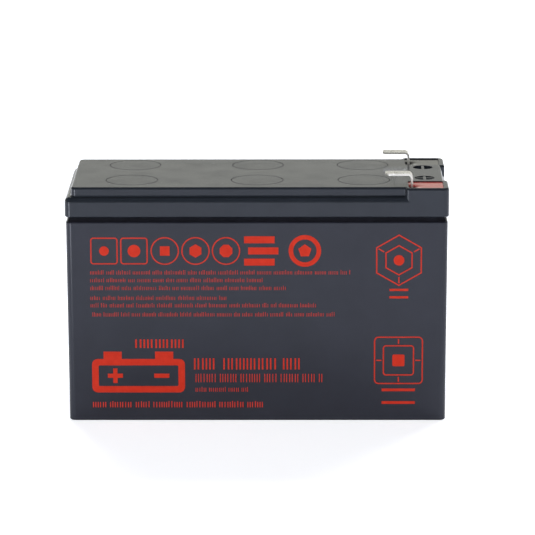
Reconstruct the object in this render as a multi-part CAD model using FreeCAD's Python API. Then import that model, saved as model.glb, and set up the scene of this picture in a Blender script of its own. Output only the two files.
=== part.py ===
# Sealed lead-acid battery block for an uninterruptible power supply.
# Twelve volts: six cells in two rows of three, in one moulded container with a bonded lid.
# Millimetres. +X runs to the terminal end, +Y to the back, +Z up; origin under the middle.
import FreeCAD, Part
import math
import os

# ---------------------------------------------------------------- overall sizes
LENGTH = 151.0              # over the lid flange
WIDTH = 65.0                # over the lid flange
LID_TOP = 94.0              # height of the lid's flat top
TERMINAL_TOP = 98.6         # height over the terminal tabs

# ---------------------------------------------------------------- container
WALL_INSET_TOP = 0.4        # container face behind the flange face, just under the flange
WALL_INSET_BASE = 0.9       # the same at the base: the moulding draft
WALL_BASE_THICKNESS = 2.4   # side wall at the base
FLOOR_THICKNESS = 2.5
PARTITION_THICKNESS = 1.6
CORNER_RADIUS = 2.6         # upright corners of flange and container
BASE_RADIUS = 0.6           # round along the bottom edge
CELL_CORNER_RADIUS = 1.0
CELLS_PER_ROW = 3
NECK_DEPTH = 1.1            # shadow groove under the flange
NECK_HEIGHT = 1.8
SHOULDER_RADIUS = 0.6
TONGUE_THICKNESS = 1.5      # upstand of the wall that the lid is bonded over
TONGUE_HEIGHT = 2.8
JOINT_CLEARANCE = 0.1

# ---------------------------------------------------------------- lid
FLANGE_HEIGHT = 7.9
FLANGE_TOP_RADIUS = 2.0
FLANGE_BOTTOM_CHAMFER = 0.45
TIER_HEIGHT = 3.7           # raised top above the flange ledge
TIER_SETBACK = 2.4          # at the front, the back and the plain end
TIER_SETBACK_END = 1.6      # at the terminal end, between the corner blocks
TIER_TOP_RADIUS = 0.85
TIER_CORNER_RADIUS = 2.2
STEP_OUTER_SHARE = 0.78     # upright corner rounds of the blocks, as a share of the setback
STEP_INNER_SHARE = 0.18     # upright rounds where the tier runs into the blocks
BLOCK_LENGTH = 17.1         # flush corner blocks round the two terminals
BLOCK_DEPTH = 17.0
LID_TOP_THICKNESS = 2.5
LID_WALL_THICKNESS = 1.2    # lid walls beyond the container's inner faces and partitions

# ---------------------------------------------------------------- vents
VENT_COVER_DIAMETER = 20.4
VENT_COVER_THICKNESS = 1.5
VENT_COVER_GAP = 0.2        # open line round each cover
VENT_COVER_CHAMFER = 0.15
VENT_WELL_DIAMETER = 15.8
VENT_WELL_WALL = 1.5
VENT_WELL_DEPTH = 8.6
VENT_WELL_FLOOR = 1.5
VENT_SPIGOT_DIAMETER = 6.2
VENT_SPIGOT_BORE = 2.8
VENT_SPIGOT_HEIGHT = 4.4
VENT_FIRST_FROM_END = 25.9  # plain end to the first column of vents
VENT_MIDDLE_OFFSET = 0.0
VENT_LAST_FROM_END = 33.2   # terminal end to the last column
VENT_EDGE_FRONT = 5.2       # front wall of the tier to the front row's cover seats
VENT_EDGE_BACK = 2.9        # the same at the back
COVER_BOSS_HEIGHT = 0.8     # step under each cover that centres it in the well
COVER_BOSS_CLEARANCE = 0.1
VALVE_WALL = 1.6
VALVE_CROWN = 1.7
VALVE_CLEARANCE = 0.05
VALVE_SKIRT_GAP = 0.3       # skirt end above the well floor

# ---------------------------------------------------------------- terminals
TERMINAL_FROM_SIDE = 10.0   # side face to the middle of the tab
TERMINAL_FROM_END = 14.1    # end face to the outer face of the upright leg
TAB_WIDTH = 6.35
TAB_THICKNESS = 0.8
TAB_REACH = 10.8            # tab tip to the outer face of the leg
TAB_BEND_RADIUS = 1.1       # inside radius
TAB_TIP_CHAMFER = 1.2
TAB_HOLE_DIAMETER = 1.8
TAB_HOLE_FROM_TIP = 4.0
FOOT_LENGTH = 7.6
POCKET_FROM_END = 2.1       # sealing pocket in the corner block
POCKET_FROM_SIDE = 1.5
POCKET_LENGTH = 13.8
POCKET_DEPTH = 14.0
POCKET_DROP = 8.0
POCKET_FLOOR = 1.8
POCKET_WALL = 1.5
POCKET_CORNER_RADIUS = 1.0
RESIN_RECESS = 0.4          # resin surface below the lid top
POST_DIAMETER = 6.0
POST_CLEARANCE = 0.25
POST_FROM_END = 10.3
POST_STAND = 2.0            # post end above the pocket floor
MARK_DIAMETER = 7.9         # round recesses that hold the polarity signs
MARK_DEPTH = 1.0
MARK_FROM_END = 9.0
MARK_FRONT = 22.2
MARK_BACK = 20.9

# ---------------------------------------------------------------- plates, mats and straps
POSITIVE_PLATE = 1.7
NEGATIVE_PLATE = 1.2
MAT_TARGET = 0.8            # glass mat between plates before it is pressed to fill the cell
PACK_CLEARANCE = 0.1        # plate pack to the cell wall, each side
PLATE_END_CLEARANCE = 1.3   # plate edge to the cell wall along X
MAT_OVERHANG = 0.6          # mat beyond the plate edge
PLATE_TOP_DROP = 16.0       # plate top below the container rim
MAT_ABOVE_PLATE = 1.0
LUG_WIDTH = 6.0
LUG_HEIGHT = 4.0
LUG_FROM_WALL = 2.1         # lug edge to the cell wall
STRAP_WIDTH = 10.4
STRAP_THICKNESS = 3.0
STRAP_SIDE_CLEARANCE = 1.0
STRAP_END_CLEARANCE = 0.9
WELD_FLAG_THICKNESS = 2.2
WELD_FLAG_WIDTH = 8.0
WELD_FLAG_HEIGHT = 7.5
WELD_DIAMETER = 5.0
WELD_CLEARANCE = 0.05

# ---------------------------------------------------------------- derived places
half_length = LENGTH / 2
half_width = WIDTH / 2
ledge_z = LID_TOP - TIER_HEIGHT
flange_z = ledge_z - FLANGE_HEIGHT
neck_z = flange_z - NECK_HEIGHT
cavity_half_length = half_length - WALL_INSET_BASE - WALL_BASE_THICKNESS
cavity_half_width = half_width - WALL_INSET_BASE - WALL_BASE_THICKNESS
cell_length = (2 * cavity_half_length - (CELLS_PER_ROW - 1) * PARTITION_THICKNESS) / CELLS_PER_ROW
cell_width = (2 * cavity_half_width - PARTITION_THICKNESS) / 2
cell_pitch = cell_length + PARTITION_THICKNESS
row_y = (cell_width + PARTITION_THICKNESS) / 2

neck_half_length = half_length - WALL_INSET_TOP - NECK_DEPTH
neck_half_width = half_width - WALL_INSET_TOP - NECK_DEPTH

plate_count = int((cell_width - 2 * PACK_CLEARANCE - NEGATIVE_PLATE)
                  / (POSITIVE_PLATE + NEGATIVE_PLATE + 2 * MAT_TARGET))
pack_width = cell_width - 2 * PACK_CLEARANCE
mat_thickness = (pack_width - plate_count * POSITIVE_PLATE
                 - (plate_count + 1) * NEGATIVE_PLATE) / (2 * plate_count)
plate_half_length = cell_length / 2 - PLATE_END_CLEARANCE
plate_base_z = FLOOR_THICKNESS + mat_thickness
plate_top_z = flange_z - PLATE_TOP_DROP
strap_z = plate_top_z + LUG_HEIGHT
strap_top_z = strap_z + STRAP_THICKNESS
flag_top_z = strap_top_z + WELD_FLAG_HEIGHT
weld_z = strap_top_z + WELD_FLAG_HEIGHT / 2

cover_seat_z = LID_TOP - VENT_COVER_THICKNESS
well_floor_z = LID_TOP - VENT_WELL_DEPTH
spigot_top_z = well_floor_z + VENT_SPIGOT_HEIGHT
pocket_floor_z = LID_TOP - POCKET_DROP
resin_top_z = LID_TOP - RESIN_RECESS
post_top_z = pocket_floor_z + POST_STAND
post_x = half_length - POST_FROM_END
terminal_y = half_width - TERMINAL_FROM_SIDE
leg_x = half_length - TERMINAL_FROM_END

# Cells in the order of the current, from the positive terminal round to the negative:
# along the front row away from the terminal end, then back along the rear row.
# Each entry is (column, side of the middle, end of the cell that holds the positive lugs).
CELLS = [
    (1, -1, 1),
    (0, -1, 1),
    (-1, -1, 1),
    (-1, 1, -1),
    (0, 1, -1),
    (1, 1, -1),
]
vent_x = {
    -1: -half_length + VENT_FIRST_FROM_END,
    0: VENT_MIDDLE_OFFSET,
    1: half_length - VENT_LAST_FROM_END,
}
cover_seat_diameter = VENT_COVER_DIAMETER + 2 * VENT_COVER_GAP
vent_y = {
    -1: -half_width + TIER_SETBACK + VENT_EDGE_FRONT + cover_seat_diameter / 2,
    1: half_width - TIER_SETBACK - VENT_EDGE_BACK - cover_seat_diameter / 2,
}


# ---------------------------------------------------------------- shape helpers
def vector(x, y, z):
    return FreeCAD.Vector(x, y, z)


def box(x0, x1, y0, y1, z0, z1):
    """A box between two opposite corners, in either order along X and Y."""
    corner = vector(min(x0, x1), min(y0, y1), z0)
    return Part.makeBox(abs(x1 - x0), abs(y1 - y0), z1 - z0, corner)


def cylinder(x, y, z0, z1, diameter):
    return Part.makeCylinder(diameter / 2, z1 - z0, vector(x, y, z0))


def outline(corners, z):
    """A closed wire at height z. Each corner is (x, y, radius), with a tangent arc."""
    points = [vector(x, y, z) for x, y, radius in corners]
    starts = []
    arcs = []
    ends = []
    for index, corner in enumerate(points):
        radius = corners[index][2]
        back = (points[index - 1] - corner).normalize()
        ahead = (points[(index + 1) % len(points)] - corner).normalize()
        half_angle = back.getAngle(ahead) / 2
        reach = radius / math.tan(half_angle)
        middle = (back + ahead).normalize()
        start = corner + back * reach
        end = corner + ahead * reach
        crown = corner + middle * (radius / math.sin(half_angle) - radius)
        starts.append(start)
        ends.append(end)
        arcs.append(Part.Arc(start, crown, end).toShape())
    edges = []
    for index, arc in enumerate(arcs):
        edges.append(arc)
        following = starts[(index + 1) % len(starts)]
        edges.append(Part.LineSegment(ends[index], following).toShape())
    return Part.Wire(edges)


def prism(corners, z0, z1):
    return Part.Face(outline(corners, z0)).extrude(vector(0, 0, z1 - z0))


def rectangle(x0, x1, y0, y1, radius):
    """The corners of a rounded rectangle between two opposite corners."""
    left, right = min(x0, x1), max(x0, x1)
    near, far = min(y0, y1), max(y0, y1)
    return [
        (left, near, radius),
        (right, near, radius),
        (right, far, radius),
        (left, far, radius),
    ]


def centred(half_x, half_y, radius):
    return rectangle(-half_x, half_x, -half_y, half_y, radius)


def edges_at(shape, z):
    """The edges of a shape that lie wholly in the plane at height z."""
    found = []
    for edge in shape.Edges:
        bounds = edge.BoundBox
        if abs(bounds.ZMin - z) < 1e-4 and abs(bounds.ZMax - z) < 1e-4:
            found.append(edge)
    return found


def joined(shapes):
    """One solid from shapes that touch or overlap, without seams on shared planes."""
    return shapes[0].multiFuse(shapes[1:]).removeSplitter()


def cut_all(shape, tools):
    return shape.cut(Part.Compound(tools))


# ---------------------------------------------------------------- places in a cell
def cell_centre(column, side):
    return column * cell_pitch, side * row_y


def cell_box(column, side, inset, z0, z1):
    """The space of one cell between two heights, drawn in by an inset on every side."""
    x, y = cell_centre(column, side)
    reach_x = cell_length / 2 - inset
    reach_y = cell_width / 2 - inset
    return box(x - reach_x, x + reach_x, y - reach_y, y + reach_y, z0, z1)


def upright_edges(shape):
    """The edges of a shape that run along Z."""
    return [edge for edge in shape.Edges if edge.BoundBox.XLength + edge.BoundBox.YLength < 1e-4]


def pocket_corners(side, grow):
    """The plan of the sealing pocket in one corner block, grown by a wall."""
    x1 = half_length - POCKET_FROM_END
    y1 = side * (half_width - POCKET_FROM_SIDE)
    x0 = x1 - POCKET_LENGTH
    y0 = y1 - side * POCKET_DEPTH
    return rectangle(x0 - grow, x1 + grow, y0 - side * grow, y1 + side * grow, POCKET_CORNER_RADIUS)


# ---------------------------------------------------------------- container
def weld_hole(index, diameter):
    """The round opening through the partition between one cell and the next."""
    column, side, positive_end = CELLS[index]
    x, y = cell_centre(column, side)
    if CELLS[index + 1][0] == column:
        x = x - positive_end * strap_middle()
        start = vector(x, -PARTITION_THICKNESS / 2, weld_z)
        axis = vector(0, 1, 0)
    else:
        end = -positive_end
        face_x = x + end * cell_length / 2
        start = vector(min(face_x, face_x + end * PARTITION_THICKNESS), y, weld_z)
        axis = vector(1, 0, 0)
    return Part.makeCylinder(diameter / 2, PARTITION_THICKNESS, start, axis)


def strap_middle():
    """Distance along X from the middle of a cell to the middle of a strap."""
    return cell_length / 2 - STRAP_WIDTH / 2


def container():
    base = outline(centred(half_length - WALL_INSET_BASE, half_width - WALL_INSET_BASE, CORNER_RADIUS), 0)
    rim = outline(centred(half_length - WALL_INSET_TOP, half_width - WALL_INSET_TOP, CORNER_RADIUS), neck_z)
    body = Part.makeLoft([base, rim], True, True)
    body = body.makeFillet(BASE_RADIUS, edges_at(body, 0))
    body = body.makeFillet(SHOULDER_RADIUS, edges_at(body, neck_z))
    neck_radius = CORNER_RADIUS - NECK_DEPTH
    neck = prism(centred(neck_half_length, neck_half_width, neck_radius), neck_z, flange_z)
    tongue_plan = centred(
        cavity_half_length + TONGUE_THICKNESS,
        cavity_half_width + TONGUE_THICKNESS,
        CELL_CORNER_RADIUS,
    )
    tongue = prism(tongue_plan, flange_z, flange_z + TONGUE_HEIGHT)
    body = joined([body, neck, tongue])
    top_opening = prism(
        centred(cavity_half_length, cavity_half_width, CELL_CORNER_RADIUS),
        flange_z,
        flange_z + TONGUE_HEIGHT,
    )
    openings = [top_opening]
    for column, side, positive_end in CELLS:
        cell = cell_box(column, side, 0, FLOOR_THICKNESS, flange_z)
        openings.append(cell.makeFillet(CELL_CORNER_RADIUS, upright_edges(cell)))
    for index in range(len(CELLS) - 1):
        openings.append(weld_hole(index, WELD_DIAMETER))
    return cut_all(body, openings)


# ---------------------------------------------------------------- lid
def tier_corners():
    """The raised top: set back all round, flush at the two terminal corner blocks."""
    plain_x = half_length - TIER_SETBACK
    side_x = half_length - TIER_SETBACK_END
    side_y = half_width - TIER_SETBACK
    block_x = half_length - BLOCK_LENGTH
    block_y = half_width - BLOCK_DEPTH
    inner = STEP_INNER_SHARE * TIER_SETBACK
    outer = STEP_OUTER_SHARE * TIER_SETBACK
    end_inner = STEP_INNER_SHARE * TIER_SETBACK_END
    end_outer = STEP_OUTER_SHARE * TIER_SETBACK_END
    front = [
        (-plain_x, -side_y, TIER_CORNER_RADIUS),
        (block_x, -side_y, inner),
        (block_x, -half_width, outer),
        (half_length, -half_width, CORNER_RADIUS),
        (half_length, -block_y, end_outer),
        (side_x, -block_y, end_inner),
    ]
    back = [(x, -y, radius) for x, y, radius in reversed(front)]
    return front + back


def lid_shell():
    """Flange and raised top as one solid, before it is hollowed."""
    flange = prism(centred(half_length, half_width, CORNER_RADIUS), flange_z, ledge_z)
    flange = flange.makeFillet(FLANGE_TOP_RADIUS, edges_at(flange, ledge_z))
    flange = flange.makeChamfer(FLANGE_BOTTOM_CHAMFER, edges_at(flange, flange_z))
    tier_foot_z = ledge_z - FLANGE_TOP_RADIUS
    tier = prism(tier_corners(), tier_foot_z, LID_TOP)
    tier = tier.makeFillet(TIER_TOP_RADIUS, edges_at(tier, LID_TOP))
    return joined([flange, tier])


def vent_wells():
    """The cups let down from the lid top, as solids, one for each cell."""
    diameter = VENT_WELL_DIAMETER + 2 * VENT_WELL_WALL
    foot_z = well_floor_z - VENT_WELL_FLOOR
    return [cylinder(vent_x[column], vent_y[side], foot_z, cover_seat_z, diameter)
            for column, side, positive_end in CELLS]


def vent_openings():
    """What is taken out of the wells: cover seats, cups round the spigots, and bores."""
    tools = []
    for column, side, positive_end in CELLS:
        x, y = vent_x[column], vent_y[side]
        cup = cylinder(x, y, well_floor_z, cover_seat_z, VENT_WELL_DIAMETER)
        spigot = cylinder(x, y, well_floor_z, spigot_top_z, VENT_SPIGOT_DIAMETER)
        tools.append(cylinder(x, y, cover_seat_z, LID_TOP, cover_seat_diameter))
        tools.append(cup.cut(spigot))
        tools.append(cylinder(x, y, well_floor_z - VENT_WELL_FLOOR, spigot_top_z, VENT_SPIGOT_BORE))
    return tools


def lid():
    shell = lid_shell()
    block_solids = [
        prism(pocket_corners(side, POCKET_WALL), pocket_floor_z - POCKET_FLOOR, LID_TOP)
        for side in (-1, 1)
    ]
    kept = Part.Compound(block_solids + vent_wells())
    hollows = []
    for column, side, positive_end in CELLS:
        hollow = cell_box(column, side, LID_WALL_THICKNESS, flange_z, LID_TOP - LID_TOP_THICKNESS)
        hollows.append(hollow.cut(kept))
    shell = cut_all(shell, hollows)
    outer = centred(
        cavity_half_length + TONGUE_THICKNESS + JOINT_CLEARANCE,
        cavity_half_width + TONGUE_THICKNESS + JOINT_CLEARANCE,
        CELL_CORNER_RADIUS + JOINT_CLEARANCE,
    )
    inner = centred(
        cavity_half_length - JOINT_CLEARANCE,
        cavity_half_width - JOINT_CLEARANCE,
        CELL_CORNER_RADIUS,
    )
    groove_z = flange_z + TONGUE_HEIGHT + JOINT_CLEARANCE
    tools = [prism(outer, flange_z, groove_z).cut(prism(inner, flange_z, groove_z))]
    tools = tools + vent_openings()
    for side in (-1, 1):
        tools.append(prism(pocket_corners(side, 0), pocket_floor_z, LID_TOP))
        hole = POST_DIAMETER + 2 * POST_CLEARANCE
        tools.append(cylinder(post_x, side * terminal_y, pocket_floor_z - POCKET_FLOOR, pocket_floor_z, hole))
    for y in (-half_width + MARK_FRONT, half_width - MARK_BACK):
        tools.append(cylinder(half_length - MARK_FROM_END, y, LID_TOP - MARK_DEPTH, LID_TOP, MARK_DIAMETER))
    return cut_all(shell, tools)


# ---------------------------------------------------------------- vent parts
def vent_cover(column, side):
    """A flush disc with a shallow boss beneath it that centres it in the well."""
    x, y = vent_x[column], vent_y[side]
    disc = cylinder(x, y, cover_seat_z, LID_TOP, VENT_COVER_DIAMETER)
    disc = disc.makeChamfer(VENT_COVER_CHAMFER, edges_at(disc, LID_TOP))
    boss_diameter = VENT_WELL_DIAMETER - 2 * COVER_BOSS_CLEARANCE
    boss = cylinder(x, y, cover_seat_z - COVER_BOSS_HEIGHT, cover_seat_z, boss_diameter)
    return joined([disc, boss])


def vent_valve(column, side):
    """A rubber cap turned about its axis, pushed over the spigot: it lifts to let gas out."""
    bore = VENT_SPIGOT_DIAMETER / 2 + VALVE_CLEARANCE
    radius = bore + VALVE_WALL
    skirt_z = well_floor_z + VALVE_SKIRT_GAP
    crown_z = spigot_top_z + VALVE_CROWN
    profile = [
        vector(0, 0, spigot_top_z),
        vector(bore, 0, spigot_top_z),
        vector(bore, 0, skirt_z),
        vector(radius, 0, skirt_z),
        vector(radius, 0, crown_z),
        vector(0, 0, crown_z),
        vector(0, 0, spigot_top_z),
    ]
    face = Part.Face(Part.makePolygon(profile))
    cap = face.revolve(vector(0, 0, 0), vector(0, 0, 1), 360)
    cap.translate(vector(vent_x[column], vent_y[side], 0))
    return cap


# ---------------------------------------------------------------- terminals
def terminal(side):
    """One strip bent twice: a foot on the post, an upright leg and the flat tab."""
    y = side * terminal_y
    y0 = y - TAB_WIDTH / 2
    inner = TAB_BEND_RADIUS
    outer = TAB_BEND_RADIUS + TAB_THICKNESS
    tip_x = leg_x - TAB_REACH
    foot_x = leg_x - TAB_THICKNESS + FOOT_LENGTH
    foot_z = post_top_z
    tab_z = TERMINAL_TOP - TAB_THICKNESS
    half = math.sqrt(0.5)

    def at(x, z):
        return vector(x, y0, z)

    def bend(centre_x, centre_z, radius, sign_x, sign_z):
        """A quarter arc from the vertical side of its centre to the horizontal one."""
        start = at(centre_x + sign_x * radius, centre_z)
        crown = at(centre_x + sign_x * radius * half, centre_z + sign_z * radius * half)
        end = at(centre_x, centre_z + sign_z * radius)
        return start, Part.Arc(start, crown, end).toShape(), end

    top_x, top_z = leg_x - outer, TERMINAL_TOP - outer
    low_x, low_z = leg_x + inner, foot_z + outer
    top_outer = bend(top_x, top_z, outer, 1, 1)
    top_inner = bend(top_x, top_z, inner, 1, 1)
    low_outer = bend(low_x, low_z, outer, -1, -1)
    low_inner = bend(low_x, low_z, inner, -1, -1)
    tip_top, tip_under = at(tip_x, TERMINAL_TOP), at(tip_x, tab_z)
    foot_top, foot_under = at(foot_x, foot_z + TAB_THICKNESS), at(foot_x, foot_z)
    edges = [
        Part.LineSegment(tip_top, top_outer[2]).toShape(),
        top_outer[1],
        Part.LineSegment(top_outer[0], low_inner[0]).toShape(),
        low_inner[1],
        Part.LineSegment(low_inner[2], foot_top).toShape(),
        Part.LineSegment(foot_top, foot_under).toShape(),
        Part.LineSegment(foot_under, low_outer[2]).toShape(),
        low_outer[1],
        Part.LineSegment(low_outer[0], top_inner[0]).toShape(),
        top_inner[1],
        Part.LineSegment(top_inner[2], tip_under).toShape(),
        Part.LineSegment(tip_under, tip_top).toShape(),
    ]
    strip = Part.Face(Part.Wire(edges)).extrude(vector(0, TAB_WIDTH, 0))
    tools = [cylinder(tip_x + TAB_HOLE_FROM_TIP, y, tab_z, TERMINAL_TOP, TAB_HOLE_DIAMETER)]
    for edge_side in (-1, 1):
        edge_y = y + edge_side * TAB_WIDTH / 2
        corner = [
            vector(tip_x, edge_y, tab_z),
            vector(tip_x + TAB_TIP_CHAMFER, edge_y, tab_z),
            vector(tip_x, edge_y - edge_side * TAB_TIP_CHAMFER, tab_z),
            vector(tip_x, edge_y, tab_z),
        ]
        tools.append(Part.Face(Part.makePolygon(corner)).extrude(vector(0, 0, TAB_THICKNESS)))
    return cut_all(strip, tools)


def terminal_seal(side):
    """Resin poured round the post and the terminal's foot, level just below the lid top."""
    resin = prism(pocket_corners(side, 0), pocket_floor_z, resin_top_z)
    post = cylinder(post_x, side * terminal_y, pocket_floor_z, post_top_z, POST_DIAMETER)
    return cut_all(resin, [post, terminal(side)])


# ---------------------------------------------------------------- plates and mats
def plate(x, y_near, thickness, lug_end):
    """One pasted plate with its lug at the named end, as a profile seen along Y."""
    lug_far = cell_length / 2 - LUG_FROM_WALL
    lug_near = lug_far - LUG_WIDTH
    shape = [
        (-plate_half_length, plate_base_z),
        (plate_half_length, plate_base_z),
        (plate_half_length, plate_top_z),
        (lug_far, plate_top_z),
        (lug_far, strap_z),
        (lug_near, strap_z),
        (lug_near, plate_top_z),
        (-plate_half_length, plate_top_z),
    ]
    points = [vector(x + lug_end * px, y_near, z) for px, z in shape]
    return Part.Face(Part.makePolygon(points + points[:1])).extrude(vector(0, thickness, 0))


def pack_places(side):
    """The near face of each negative plate, each mat and each positive plate along Y."""
    y = side * row_y - pack_width / 2
    negatives = [y]
    mats = []
    positives = []
    y = y + NEGATIVE_PLATE
    for number in range(plate_count):
        mats.append(y)
        positives.append(y + mat_thickness)
        y = y + 2 * mat_thickness + POSITIVE_PLATE
        negatives.append(y)
        y = y + NEGATIVE_PLATE
    return negatives, mats, positives


def positive_plates(column, side, positive_end):
    x = cell_centre(column, side)[0]
    places = pack_places(side)[2]
    return Part.Compound([plate(x, y, POSITIVE_PLATE, positive_end) for y in places])


def negative_plates(column, side, positive_end):
    x = cell_centre(column, side)[0]
    places = pack_places(side)[0]
    return Part.Compound([plate(x, y, NEGATIVE_PLATE, -positive_end) for y in places])


def separators(column, side):
    """Glass mats, each folded up from below round one positive plate."""
    x = cell_centre(column, side)[0]
    reach = plate_half_length + MAT_OVERHANG
    fold = 2 * mat_thickness + POSITIVE_PLATE
    top_z = plate_top_z + MAT_ABOVE_PLATE
    mats = []
    for y in pack_places(side)[1]:
        mat = box(x - reach, x + reach, y, y + fold, FLOOR_THICKNESS, top_z)
        slot = box(x - reach, x + reach, y + mat_thickness, y + mat_thickness + POSITIVE_PLATE,
                   plate_base_z, top_z)
        mats.append(mat.cut(slot))
    return Part.Compound(mats)


# ---------------------------------------------------------------- straps, welds and posts
def strap_bar(column, side, end, end_clearance):
    """The bar cast over the lugs of one polarity, at one end of a cell."""
    x, y = cell_centre(column, side)
    far = x + end * (cell_length / 2 - end_clearance)
    near = x + end * (cell_length / 2 - STRAP_WIDTH)
    reach = cell_width / 2 - STRAP_SIDE_CLEARANCE
    return box(near, far, y - reach, y + reach, strap_z, strap_top_z)


def weld_flag(column, side, end):
    """The upright flag on a strap that is welded through the partition along X."""
    x, y = cell_centre(column, side)
    far = x + end * cell_length / 2
    near = far - end * WELD_FLAG_THICKNESS
    reach = WELD_FLAG_WIDTH / 2
    return box(near, far, y - reach, y + reach, strap_top_z, flag_top_z)


def middle_flag(column, side, end):
    """The flag on a strap that is welded through the long middle partition."""
    x = cell_centre(column, side)[0] + end * strap_middle()
    near = side * PARTITION_THICKNESS / 2
    far = near + side * WELD_FLAG_THICKNESS
    reach = WELD_FLAG_WIDTH / 2
    return box(x - reach, x + reach, near, far, strap_top_z, flag_top_z)


def middle_tongue(column, side, end):
    """The strap's reach over its clearance to the middle partition, under the flag."""
    x = cell_centre(column, side)[0] + end * strap_middle()
    near = side * PARTITION_THICKNESS / 2
    far = near + side * (STRAP_SIDE_CLEARANCE + WELD_FLAG_THICKNESS)
    reach = WELD_FLAG_WIDTH / 2
    return box(x - reach, x + reach, near, far, strap_z, strap_top_z)


def intercell_link(index):
    """The negative strap of one cell welded through the partition to the next cell's positive."""
    column, side, positive_end = CELLS[index]
    next_column, next_side, next_end = CELLS[index + 1]
    end_clearance = STRAP_END_CLEARANCE if next_column == column else 0
    pieces = [
        strap_bar(column, side, -positive_end, end_clearance),
        strap_bar(next_column, next_side, next_end, end_clearance),
        weld_hole(index, WELD_DIAMETER - 2 * WELD_CLEARANCE),
    ]
    if next_column == column:
        for flag_side, flag_end in ((side, -positive_end), (next_side, next_end)):
            pieces.append(middle_flag(column, flag_side, flag_end))
            pieces.append(middle_tongue(column, flag_side, flag_end))
    else:
        pieces.append(weld_flag(column, side, -positive_end))
        pieces.append(weld_flag(next_column, next_side, next_end))
    return joined(pieces)


def terminal_post(index, end):
    """The last strap of a row with its round post up into the sealing pocket."""
    column, side, positive_end = CELLS[index]
    bar = strap_bar(column, side, end, STRAP_END_CLEARANCE)
    post = cylinder(post_x, side * terminal_y, strap_z, post_top_z, POST_DIAMETER)
    return joined([bar, post])


# ---------------------------------------------------------------- all pieces
def all_pieces():
    pieces = {
        "container": container(),
        "lid": lid(),
        "positive_terminal": terminal(-1),
        "negative_terminal": terminal(1),
        "positive_terminal_seal": terminal_seal(-1),
        "negative_terminal_seal": terminal_seal(1),
        "positive_post": terminal_post(0, 1),
        "negative_post": terminal_post(len(CELLS) - 1, 1),
    }
    for number, (column, side, positive_end) in enumerate(CELLS, start=1):
        pieces[f"vent_cover_{number}"] = vent_cover(column, side)
        pieces[f"vent_valve_{number}"] = vent_valve(column, side)
        pieces[f"positive_plates_{number}"] = positive_plates(column, side, positive_end)
        pieces[f"negative_plates_{number}"] = negative_plates(column, side, positive_end)
        pieces[f"separators_{number}"] = separators(column, side)
    for index in range(len(CELLS) - 1):
        pieces[f"intercell_link_{index + 1}"] = intercell_link(index)
    return pieces


os.makedirs("parts", exist_ok=True)
for name, shape in all_pieces().items():
    print(name, len(shape.Solids), "solid(s)", round(shape.Volume / 1000, 2), "cm3", shape.isValid())
    shape.exportStep(f"parts/{name}.step")
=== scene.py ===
import math
import random
from collections import namedtuple

import bmesh
import bpy
from mathutils import Matrix, Vector
from mathutils.bvhtree import BVHTree


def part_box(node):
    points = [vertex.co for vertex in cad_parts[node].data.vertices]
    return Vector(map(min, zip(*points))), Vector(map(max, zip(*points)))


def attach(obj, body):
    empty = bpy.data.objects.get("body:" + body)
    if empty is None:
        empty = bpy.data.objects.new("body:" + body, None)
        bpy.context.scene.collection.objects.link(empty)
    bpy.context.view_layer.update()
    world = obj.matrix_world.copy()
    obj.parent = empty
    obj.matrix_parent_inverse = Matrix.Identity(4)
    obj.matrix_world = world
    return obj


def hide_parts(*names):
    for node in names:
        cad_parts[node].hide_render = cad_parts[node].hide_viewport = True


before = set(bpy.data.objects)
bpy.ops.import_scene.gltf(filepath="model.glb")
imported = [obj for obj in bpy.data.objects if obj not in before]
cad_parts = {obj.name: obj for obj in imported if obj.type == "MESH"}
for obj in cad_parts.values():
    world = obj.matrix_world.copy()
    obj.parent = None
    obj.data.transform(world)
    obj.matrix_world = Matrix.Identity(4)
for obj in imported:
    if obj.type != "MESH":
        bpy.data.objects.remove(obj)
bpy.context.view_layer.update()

MM = 0.001
MICRON = 0.000001
rng = random.Random(7)


def link_new(name, data):
    """An object for the data, in the scene."""
    thing = bpy.data.objects.new(name, data)
    bpy.context.scene.collection.objects.link(thing)
    return thing


# ------------------------------------------------------------------ camera
CAMERA_PLACE = (16.6 * MM, -1398.8 * MM, 366.6 * MM)
CAMERA_HEADING = math.radians(0.52)     # turned this far towards -X
CAMERA_TILT = math.radians(12.55)       # looking down
CAMERA_ROLL = math.radians(-0.14)
CAMERA_NEAR = 0.05
CAMERA_FAR = 50.0
LENS_MM = 239.5
SENSOR_MM = 36.0


def add_camera():
    data = bpy.data.cameras.new("camera")
    data.lens = LENS_MM
    data.sensor_width = SENSOR_MM
    data.clip_start = CAMERA_NEAR
    data.clip_end = CAMERA_FAR
    camera = link_new("camera", data)
    heading = Matrix.Rotation(CAMERA_HEADING, 4, "Z")
    tilt = Matrix.Rotation(math.pi / 2 - CAMERA_TILT, 4, "X")
    roll = Matrix.Rotation(CAMERA_ROLL, 4, "Z")
    camera.matrix_world = Matrix.Translation(CAMERA_PLACE) @ heading @ tilt @ roll
    bpy.context.scene.camera = camera


# ------------------------------------------------------------------ node helpers
EVEN = (1, 1, 1)                # noise that isn't stretched along any axis
NOISE_ROUGHNESS = 0.55
NOISE_LOW = 0.3                 # nearly all of a noise pattern lies between these two
NOISE_HIGH = 0.7
MIX_FACTOR, MIX_A, MIX_B = 0, 6, 7      # a Mix node's sockets for colour share their names
MIX_RESULT = 2                          # with those for numbers, so they go by place


def feed(tree, socket, value):
    """Links an output to a socket, or puts a constant straight on it."""
    if isinstance(value, bpy.types.NodeSocket):
        tree.links.new(value, socket)
    else:
        socket.default_value = value


def feed_all(tree, node, values):
    for name, value in values.items():
        feed(tree, node.inputs[name], value)


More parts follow.
